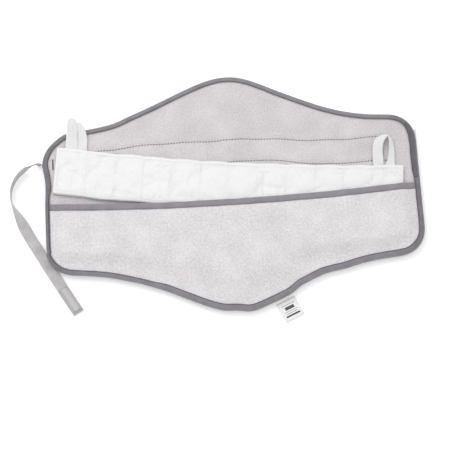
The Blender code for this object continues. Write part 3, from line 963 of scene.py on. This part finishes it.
def pocket_panel():
    loop = OUTLINE - loop_normals(OUTLINE) * RIM_INSET
    below = [p for p in loop if p[1] < np.interp(p[0], MOUTH[:, 0], MOUTH[:, 1]) - 0.002]
    left = min(range(len(below)), key=lambda i: (below[i][0] > 0, -below[i][1]))
    rim = below[left:] + below[:left]
    inner = MOUTH[(MOUTH[:, 0] > rim[0][0] + 0.002) & (MOUTH[:, 0] < rim[-1][0] - 0.002)]
    closed = np.vstack([np.array(rim), inner[::-1]])
    terry = MATERIALS["pocket_terry"]
    piece = closed_sheet("pocket_panel_terry", closed, panel_top, panel_under, terry, PANEL_PITCH)
    belongs(piece, "pocket_half", "pocket_terry", "pocket_panel")


def mouth_section(width):
    """Insets, faces and steps round the mouth's tape: a stitched leg above and below, and a round back."""
    stitch = BINDING_STITCH_INSET
    leg = ((0.0, -0.25), (0.0005, 0.0), (stitch - 0.0008, 0.02), (stitch, -0.34), (stitch + 0.0008, 0.04))
    upper = [(width - d, 1, dz * 0.001) for d, dz in leg] + [(width * 0.4, 1, 0.0001)]
    back = [(-0.0010, 1, -0.0002), (-0.0018, 1, -0.0010), (-0.0018, -1, 0.0010), (-0.0010, -1, 0.0002)]
    lower = [(width - d, -1, -dz * 0.001) for d, dz in leg]
    return upper + back + lower[::-1]


def mouth_binding():
    """Tape folded over the panel's free edge, and its row of stitches."""
    ends = OUTLINE[:, 0].max() - BINDING_WIDTH * 0.55
    line = MOUTH[np.abs(MOUTH[:, 0]) < ends]
    places = run_lengths(line)
    run = np.gradient(line, axis=0)
    run /= np.linalg.norm(run, axis=1)[:, None]
    inward = np.c_[run[:, 1], -run[:, 0]]
    thin = 0.35 + 0.65 * panel_rise(line)
    section = mouth_section(MOUTH_TAPE_WIDTH + 0.0003 * line_noise(places, 50, 9.0))
    rings = np.empty((len(line), len(section), 3))
    uv = np.empty((len(line), len(section), 2))
    for k, (inset, face, dz) in enumerate(section):
        inset = np.broadcast_to(inset, (len(line),))
        base = panel_under(line + inward * np.maximum(inset, 0.0)[:, None])
        level = base + PANEL_THICKNESS / 2 + face * (PANEL_THICKNESS / 2 + TAPE * thin) + dz * thin
        rings[:, k] = np.c_[line + inward * inset[:, None], level]
        uv[:, k] = np.c_[places, inset]
    piece = lofted("mouth_binding", rings, uv, MATERIALS["mouth_tape"])
    belongs(piece, "pocket_half", "binding", "pocket_mouth_binding")
    stitched = rings[:, 3]
    thread = MATERIALS["binding_thread"]
    normals = up_normals(stitched)
    name = "mouth_binding_stitches"
    row = stitches(name, stitched, normals, BINDING_STITCH, thread, share=0.75, radius=0.00036)
    belongs(row, "pocket_half", "binding")


def lining_stitches():
    """The rows that hold the landing band show through on the lining, and a bar tack holds the strap."""
    thread = MATERIALS["seam_thread"]
    for name, line in zip(("band_seam_far", "band_seam_near"), BAND_SEAMS):
        plan = along_line(line, np.arange(0, run_lengths(line)[-1], TAPE_STEP))
        path = np.c_[plan, lining_top(plan) + 0.0006]
        row = stitches(name, path, up_normals(path), 0.0052, thread, share=0.60, radius=0.00062)
        belongs(row, "flap_half", "binding")
    tab_low, tab_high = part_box("strap_root_tab")
    turns = 26
    x = OUTLINE[:, 0].min() + BINDING_WIDTH + 0.0074 + 0.0024 * (np.arange(turns) % 2)
    plan = np.c_[x, np.linspace(tab_low.y, tab_high.y, turns) - 0.0055]
    path = np.c_[plan, lining_top(plan) + 0.0003]
    normals = up_normals(path)
    tack = stitches("strap_bar_tack", path, normals, 0.0013, thread, share=0.95, radius=0.0006, uneven=0.0)
    belongs(tack, "flap_half", "binding")


# ---- Cold pack ------------------------------------------------------------------------------------


def pack_plan():
    """The pack's sections, how far along it they lie, and where the middles of its cells lie."""
    low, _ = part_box("pack_back_canvas")
    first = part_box("pack_fill_01")
    sections = tape_sections("pack_back_canvas", Vector((low.x, (first[0].y + first[1].y) / 2, low.z)))
    centres = sections[0]
    places = run_lengths(centres)
    middles = []
    for cell in range(1, PACK_CELLS + 1):
        middle = np.array(sum(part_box(f"pack_fill_{cell:02d}"), Vector()) / 2)
        near = int(np.argmin(np.linalg.norm(centres[:, :2] - middle[:2], axis=1)))
        run = centres[min(near + 1, len(centres) - 1)] - centres[max(near - 1, 0)]
        middles.append(places[near] + float((middle - centres[near]) @ run / np.linalg.norm(run)))
    return sections, places, np.array(middles)


def pack_grid(length, width, cells):
    """Places along and across the pack, with a column on every divider and rows at the hems."""
    pitch = float(np.mean(np.diff(cells)))
    dividers = np.concatenate([cells - pitch / 2, [cells[-1] + pitch / 2]])
    columns = [0.0, dividers[0] * 0.5]
    per_cell = round(pitch / PACK_PITCH)
    for a, b in zip(dividers, dividers[1:]):
        columns += list(a + (b - a) * np.arange(per_cell) / per_cell)
    columns += [dividers[-1], (dividers[-1] + length) / 2, length]
    inner = width / 2 - PACK_HEM
    rows = np.linspace(-inner, inner, round(2 * inner / PACK_PITCH) + 1)
    near_hem = [-width / 2, -width / 2 + PACK_HEM / 2]
    far_hem = [width / 2 - PACK_HEM / 2, width / 2]
    return np.array(columns), np.concatenate([near_hem, rows, far_hem]), dividers


def grid_faces(wide, deep):
    """Faces of a grid of points, upward, in rows of deep points."""
    starts = [i * deep + j for i in range(wide - 1) for j in range(deep - 1)]
    return [(k, k + deep, k + deep + 1, k + 1) for k in starts]


def sewn_points(columns, rows, dividers):
    """Which points of the pack's front are held by thread: the hems and the lines between cells."""
    held = np.zeros((len(columns), len(rows)), bool)
    for edge in (slice(None, PACK_HELD_ROWS), slice(-PACK_HELD_ROWS, None)):
        held[:, edge] = True
        held[edge] = True
    for place in dividers:
        held[int(np.argmin(np.abs(columns - place)))] = True
    return [int(i) for i in np.flatnonzero(held.ravel())]


def simulate_front(columns, rows, dividers):
    """Blow up the front canvas between its stitched lines, as a cloth under pressure."""
    flat = np.stack(np.meshgrid(columns, rows, indexing="ij"), axis=2).reshape(-1, 2)
    mesh = bpy.data.meshes.new("pack_trial")
    start = np.c_[flat, 0.0003 * ripple(flat, 38, 0.3)]
    mesh.from_pydata(start.tolist(), [], grid_faces(len(columns), len(rows)))
    trial = bpy.data.objects.new("pack_trial", mesh)
    bpy.context.collection.objects.link(trial)
    group = trial.vertex_groups.new(name="sewn")
    group.add(sewn_points(columns, rows, dividers), 1.0, "REPLACE")
    cloth = trial.modifiers.new("cloth", "CLOTH")
    for key, value in PACK_CLOTH.items():
        setattr(cloth.settings, key, value)
    cloth.settings.vertex_group_mass = "sewn"
    cloth.settings.use_pressure = True
    cloth.settings.effector_weights.gravity = 0
    cloth.collision_settings.use_collision = False
    cloth.point_cache.frame_start = 1
    cloth.point_cache.frame_end = PACK_SIM_FRAMES
    scene = bpy.context.scene
    for step in range(1, PACK_SIM_FRAMES + 1):
        scene.frame_set(step)
    shape = trial.evaluated_get(bpy.context.evaluated_depsgraph_get()).to_mesh()
    found = np.array([v.co for v in shape.vertices])
    bpy.data.objects.remove(trial)
    scene.frame_set(1)
    return found.reshape(len(columns), len(rows), 3)


def pack_surface(sections, places, points, level):
    """Carries points given along, across and above the pack to where the pack lies."""
    centres, wides, _ = sections
    at = np.clip(points[..., 0].ravel(), 0, places[-1])
    side = through(wides / np.linalg.norm(wides, axis=1)[:, None], places, at)
    world = through(centres * (1, 1, 0), places, at) + side * points[..., 1].ravel()[:, None]
    world[:, 2] = level + points[..., 2].ravel() + lie(world[:, :2])
    return world.reshape(points.shape)


def cell_scallops(along, across, dividers, far_side):
    """How far each full cell pushes the pack's long edges out, and each divider draws them in. The edge in
    the pocket is held straighter than the far one."""
    cell = np.interp(along, dividers, np.arange(len(dividers)), left=0, right=0)
    bulge = np.abs(np.sin(math.pi * cell)) * 2 - 1
    bulge = np.where((along < dividers[0]) | (along > dividers[-1]), -1.0, bulge)
    free = np.where(across * far_side > 0, 1.0, 0.25)
    return PACK_SCALLOP * bulge * free * np.sign(across) * np.abs(across / across.max()) ** 3


def rim_mask(wide, deep):
    mask = np.ones((wide, deep))
    mask[1:-1, 1:-1] = 0
    return mask


def pack_faces(wide, deep):
    """Faces of the pack's front, its back and the narrow rim between them."""
    count = wide * deep
    front = grid_faces(wide, deep)
    back = [tuple(count + k for k in reversed(face)) for face in front]
    ring = [(i, 0) for i in range(wide)] + [(wide - 1, j) for j in range(1, deep)]
    ring += [(i, deep - 1) for i in range(wide - 2, -1, -1)] + [(0, j) for j in range(deep - 2, 0, -1)]
    ring = [i * deep + j for i, j in ring]
    return front + back + [(b, a, count + a, count + b) for a, b in zip(ring, ring[1:] + ring[:1])]


def cold_pack():
    """The canvas pack: a front blown up between its stitched lines, a flat back and a rim."""
    sections, places, middles = pack_plan()
    width = 2 * np.linalg.norm(sections[1][0])
    columns, rows, dividers = pack_grid(places[-1], width, middles)
    front = simulate_front(columns, rows, dividers)
    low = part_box("pack_back_canvas")[0].z
    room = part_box("pack_front_canvas")[1].z - low - PACK_HEM_THICKNESS
    height = front[..., 2] - front[..., 2].min()
    edge = rim_mask(len(columns), len(rows))
    front[..., 2] = PACK_HEM_THICKNESS + room * np.tanh(height / room * 1.05) - 0.0007 * edge
    along, across = np.meshgrid(columns, rows, indexing="ij")
    drape = np.array([noise.noise((a * 20, b * 9, 4.0)) for a, b in zip(along.ravel(), across.ravel())])
    sway = np.array([noise.noise((a * 17, 6.0, 2.0)) for a in along.ravel()]).reshape(along.shape)
    far_side = np.sign(sections[1][0][1])
    shift = PACK_SWAY * sway * (across / rows[-1]) ** 2
    shift += cell_scallops(along, across, dividers, far_side)
    front[..., 1] += shift
    crease = 0.0004 * np.abs(drape.reshape(along.shape)) * (1 - edge)
    back = np.stack([along, across + shift, crease], axis=2)
    front, back = (pack_surface(sections, places, shape, low) for shape in (front, back))
    points = np.vstack([front.reshape(-1, 3), back.reshape(-1, 3)])
    uv = np.c_[along.ravel(), across.ravel()]
    faces = pack_faces(len(columns), len(rows))
    piece = outward(add_mesh("cold_pack_canvas", points, faces, np.vstack([uv, uv]), MATERIALS["canvas"]))
    fillings = [f"pack_fill_{n:02d}" for n in range(1, PACK_CELLS + 1)]
    belongs(piece, "cold_pack", "canvas", "pack_back_canvas", "pack_front_canvas", *fillings)
    crumple(piece)
    pack_stitches(front, columns, dividers)


def crumple(piece):
    """Gives a piece of the pack or its loops a mesh of its own."""
    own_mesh(piece)


def pack_stitches(front, columns, dividers):
    """Rows of white stitches between the cells and along the two long hems."""
    lines = [front[int(np.argmin(np.abs(columns - place))), 2:-2] for place in dividers]
    lines += [front[2:-2, 2], front[2:-2, -3]]
    for n, line in enumerate(lines):
        path = line + np.array([0, 0, 0.0002])
        row = stitches(f"pack_seam_{n + 1:02d}", path, up_normals(path), 0.0036, MATERIALS["white_thread"])
        belongs(row, "cold_pack", "canvas")
        crumple(row)


# Where a loop's outer and inner edges run, from its left root over the top to its right root, in shares
# of the loop's half width and height. The left loop is folded, its left leg on top. The right one shows
# an eye.
LOOP_EDGES = {
    "left": (
        ((-1, 0), (-1, 0.28), (-1, 0.55), (-1, 0.78), (-0.92, 0.94), (-0.62, 1), (-0.22, 0.94),
         (-0.02, 0.86), (0.25, 0.88), (0.68, 0.69), (0.94, 0.43), (0.99, 0.20), (1, 0)),
        ((0.12, 0), (0.10, 0.22), (0.06, 0.40), (0.02, 0.58), (0.00, 0.70), (0.00, 0.74),
         (0.02, 0.70), (0.04, 0.56), (0.06, 0.40), (0.08, 0.22), (0.10, 0)),
    ),
    "right": (
        ((-1, 0), (-1, 0.30), (-1, 0.56), (-0.84, 0.80), (-0.40, 0.95), (0.38, 1), (0.76, 0.86),
         (0.92, 0.66), (1, 0.42), (1, 0.20), (1, 0)),
        ((-0.02, 0), (-0.06, 0.25), (-0.10, 0.48), (-0.02, 0.68), (0.20, 0.83), (0.42, 0.90),
         (0.50, 0.80), (0.50, 0.58), (0.44, 0.36), (0.28, 0.16), (0.06, 0)),
    ),
}


def loop_sections(side):
    """A hanging loop's centres, half widths and half thicknesses, inside the room of its CAD tape."""
    node = "pack_loop_" + side
    place, axis = joint(side + "_loop_fold")
    along, outward = -axis, Vector((axis.y, -axis.x, 0))
    corners = [v.co - place for v in frame["nodes"][node].data.vertices]
    half = max(abs(corner.dot(along)) for corner in corners)
    reach = max(corner.dot(outward) for corner in corners)
    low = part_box(node)[0].z + TAPE
    t = np.linspace(0, 1, 48)
    stand = ease(np.minimum(t, 1 - t) / 0.36)
    above = TAPE * 1.3 * ease((0.55 - t if side == "left" else t - 0.45) / 0.25)
    edges = []
    for points, rise in zip(LOOP_EDGES[side], LOOP_STAND[side]):
        shares = through(np.array(points, float), np.linspace(0, 1, len(points)), t)
        lean = LOOP_LEAN[side] * shares[:, 1]
        plan = np.outer((shares[:, 0] - lean) * half, along) + np.outer(shares[:, 1] * reach, outward)
        level = low + rise * stand + above
        edges.append(np.array([place.x, place.y, 0]) + plan + np.c_[0 * t, 0 * t, level])
    centre, wide = (edges[0] + edges[1]) / 2, (edges[0] - edges[1]) / 2
    normal = np.cross(np.gradient(centre, axis=0), wide)
    return centre, wide, normal / np.linalg.norm(normal, axis=1)[:, None] * TAPE / 2


def pack_loops():
    for side in ("left", "right"):
        name = "hanging_loop_" + side
        sections = lifted(loop_sections(side))
        piece = tape_body(name, sections, MATERIALS["loop_tape"], step=0.0016, edge_wave=0.02)
        belongs(piece, side + "_loop", "loop_tape", "pack_loop_" + side)
        crumple(piece)


# ---- Strap, landing band and label ----------------------------------------------------------------


def align(vectors, like):
    return -vectors if vectors[0] @ like < 0 else vectors


def closure_strap():
    """One webbing strap, its root part and its tail joined at the crease."""
    root, _ = joint("strap_swing")
    crease, _ = joint("tail_lift")
    upper = tape_sections("closure_strap", root)
    lower = tape_sections("strap_tail", crease)
    lower = [lower[0]] + [align(a, b[-1]) for a, b in zip(lower[1:], upper[1:])]
    sections = [np.vstack([a[:-1], b[1:]]) for a, b in zip(upper, lower)]
    piece = tape_body("closure_strap_webbing", sections, MATERIALS["webbing"], step=0.0035, edge_wave=0.015)
    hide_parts("closure_strap", "strap_tail")
    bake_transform(piece)
    hook_patch(crease)


def hook_patch(crease):
    """The hook tape on the strap's tail, sewn along its edges with a double row."""
    patch = tape_sections("strap_hook_patch", crease)
    piece = tape_body("hook_patch", patch, MATERIALS["hook_tape"], crown=0.0)
    belongs(piece, "strap_end", "hook_tape", "strap_hook_patch")
    side_seams(
        "patch_seam", patch, (0.0010, -0.0010, 0.0028, -0.0028), True, "strap_end", "webbing",
        pitch=0.0030, thread="binding_thread", radius=0.00025,
    )


def landing_band():
    """The brushed band sewn under the flap. Its short end wall at the right end is left out."""
    low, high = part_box("landing_band")
    band = tape_sections("landing_band", Vector((low.x, (low.y + high.y) / 2, 0.0)))
    band = [part[:-1] for part in band]
    piece = tape_body("landing_band_loop", band, MATERIALS["band"], step=0.006, crown=0.0, laid=True)
    belongs(piece, "flap_half", "band", "landing_band")
    side_seams(
        "band_underside_seam", band, (0.0025, -0.0025), False, "flap_half", "band",
        pitch=0.0040, thread="seam_thread", laid=True,
    )


def root_tab():
    low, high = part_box("strap_root_tab")
    tab = lifted(tape_sections("strap_root_tab", Vector((high.x, (low.y + high.y) / 2, low.z))))
    piece = tape_body("strap_root_tab_webbing", tab, MATERIALS["webbing"], step=0.0025)
    belongs(piece, "flap_half", "webbing", "strap_root_tab")


def care_label():
    """The label bows a little between its sewn edge and its free one."""
    hinge, _ = joint("label_flip")
    centres, wides, thicks = tape_sections("care_label", hinge)
    rows = 9
    t = np.linspace(0, 1, rows)
    centre = centres[0] + (centres[-1] - centres[0]) * t[:, None]
    centre[:, 2] += 0.0016 * np.sin(math.pi * t) ** 2
    bowed = (centre, np.repeat(wides[:1], rows, axis=0), np.repeat(thicks[:1], rows, axis=0))
    piece = tape_body("care_label_satin", bowed, MATERIALS["label"], step=0.0025, crown=0.0)
    belongs(piece, "label", "label", "care_label")
    side_seams(
        "label_seam", bowed, (0.0020, -0.0020), True, "label", "label",
        pitch=0.0026, thread="white_thread", radius=0.0002,
    )


# ---- Stage ----------------------------------------------------------------------------------------


def floor():
    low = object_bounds()[0].z
    reach = 6.0
    points = [(-reach, -reach, low), (reach, -reach, low), (reach, reach, low), (-reach, reach, low)]
    material = bpy.data.materials.new("pale_floor")
    material.use_nodes = True
    shader = material.node_tree.nodes["Principled BSDF"]
    shader.inputs["Base Color"].default_value = (*FLOOR_COLOUR, 1)
    shader.inputs["Roughness"].default_value = 0.9
    shader.inputs["Specular IOR Level"].default_value = 0.1
    shader.inputs["Emission Color"].default_value = (1, 1, 1, 1)
    shader.inputs["Emission Strength"].default_value = FLOOR_GLOW
    plane = add_mesh("floor", points, [(0, 1, 2, 3)], np.array(points)[:, :2], material)
    plane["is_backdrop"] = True


def area_light(name, azimuth, elevation, distance, size, power):
    """A soft light that looks at the origin. Azimuth 0 is in front of the wrap, at -Y."""
    a, e = math.radians(azimuth), math.radians(elevation)
    place = Vector((math.sin(a) * math.cos(e), -math.cos(a) * math.cos(e), math.sin(e))) * distance
    data = bpy.data.lights.new(name, "AREA")
    data.energy = power
    data.size = size
    light = bpy.data.objects.new(name, data)
    light.location = place
    light.rotation_mode = "QUATERNION"
    light.rotation_quaternion = (-place).to_track_quat("-Z", "Y")
    bpy.context.collection.objects.link(light)


def studio():
    scene = bpy.context.scene
    scene.view_settings.view_transform = "Standard"
    world = bpy.data.worlds.new("studio")
    world.use_nodes = True
    background = world.node_tree.nodes["Background"]
    background.inputs["Color"].default_value = (1.0, 1.0, 1.0, 1)
    background.inputs["Strength"].default_value = 0.88
    scene.world = world
    area_light("key", azimuth=215, elevation=52, distance=2.6, size=1.6, power=21)
    area_light("fill", azimuth=20, elevation=60, distance=3.0, size=2.2, power=6)


def camera():
    azimuth, elevation = math.radians(-3.45), math.radians(68.8)
    target = Vector((-0.0013, -0.0802, 0.0))
    width_seen, lens, sensor = 0.8245, 150.0, 36.0
    flat = math.cos(elevation)
    back = Vector((math.sin(azimuth) * flat, -math.cos(azimuth) * flat, math.sin(elevation)))
    data = bpy.data.cameras.new("camera")
    data.lens = lens
    data.sensor_width = sensor
    data.clip_end = 50
    eye = bpy.data.objects.new("camera", data)
    eye.location = target + back * (width_seen * lens / sensor)
    eye.rotation_mode = "QUATERNION"
    eye.rotation_quaternion = (-back).to_track_quat("-Z", "Y")
    bpy.context.collection.objects.link(eye)
    bpy.context.scene.camera = eye


cover_layers()
edge_binding()
turned_stitches()
pocket_panel()
mouth_binding()
lining_stitches()
cold_pack()
pack_loops()
landing_band()
root_tab()
closure_strap()
care_label()
floor()
studio()
camera()
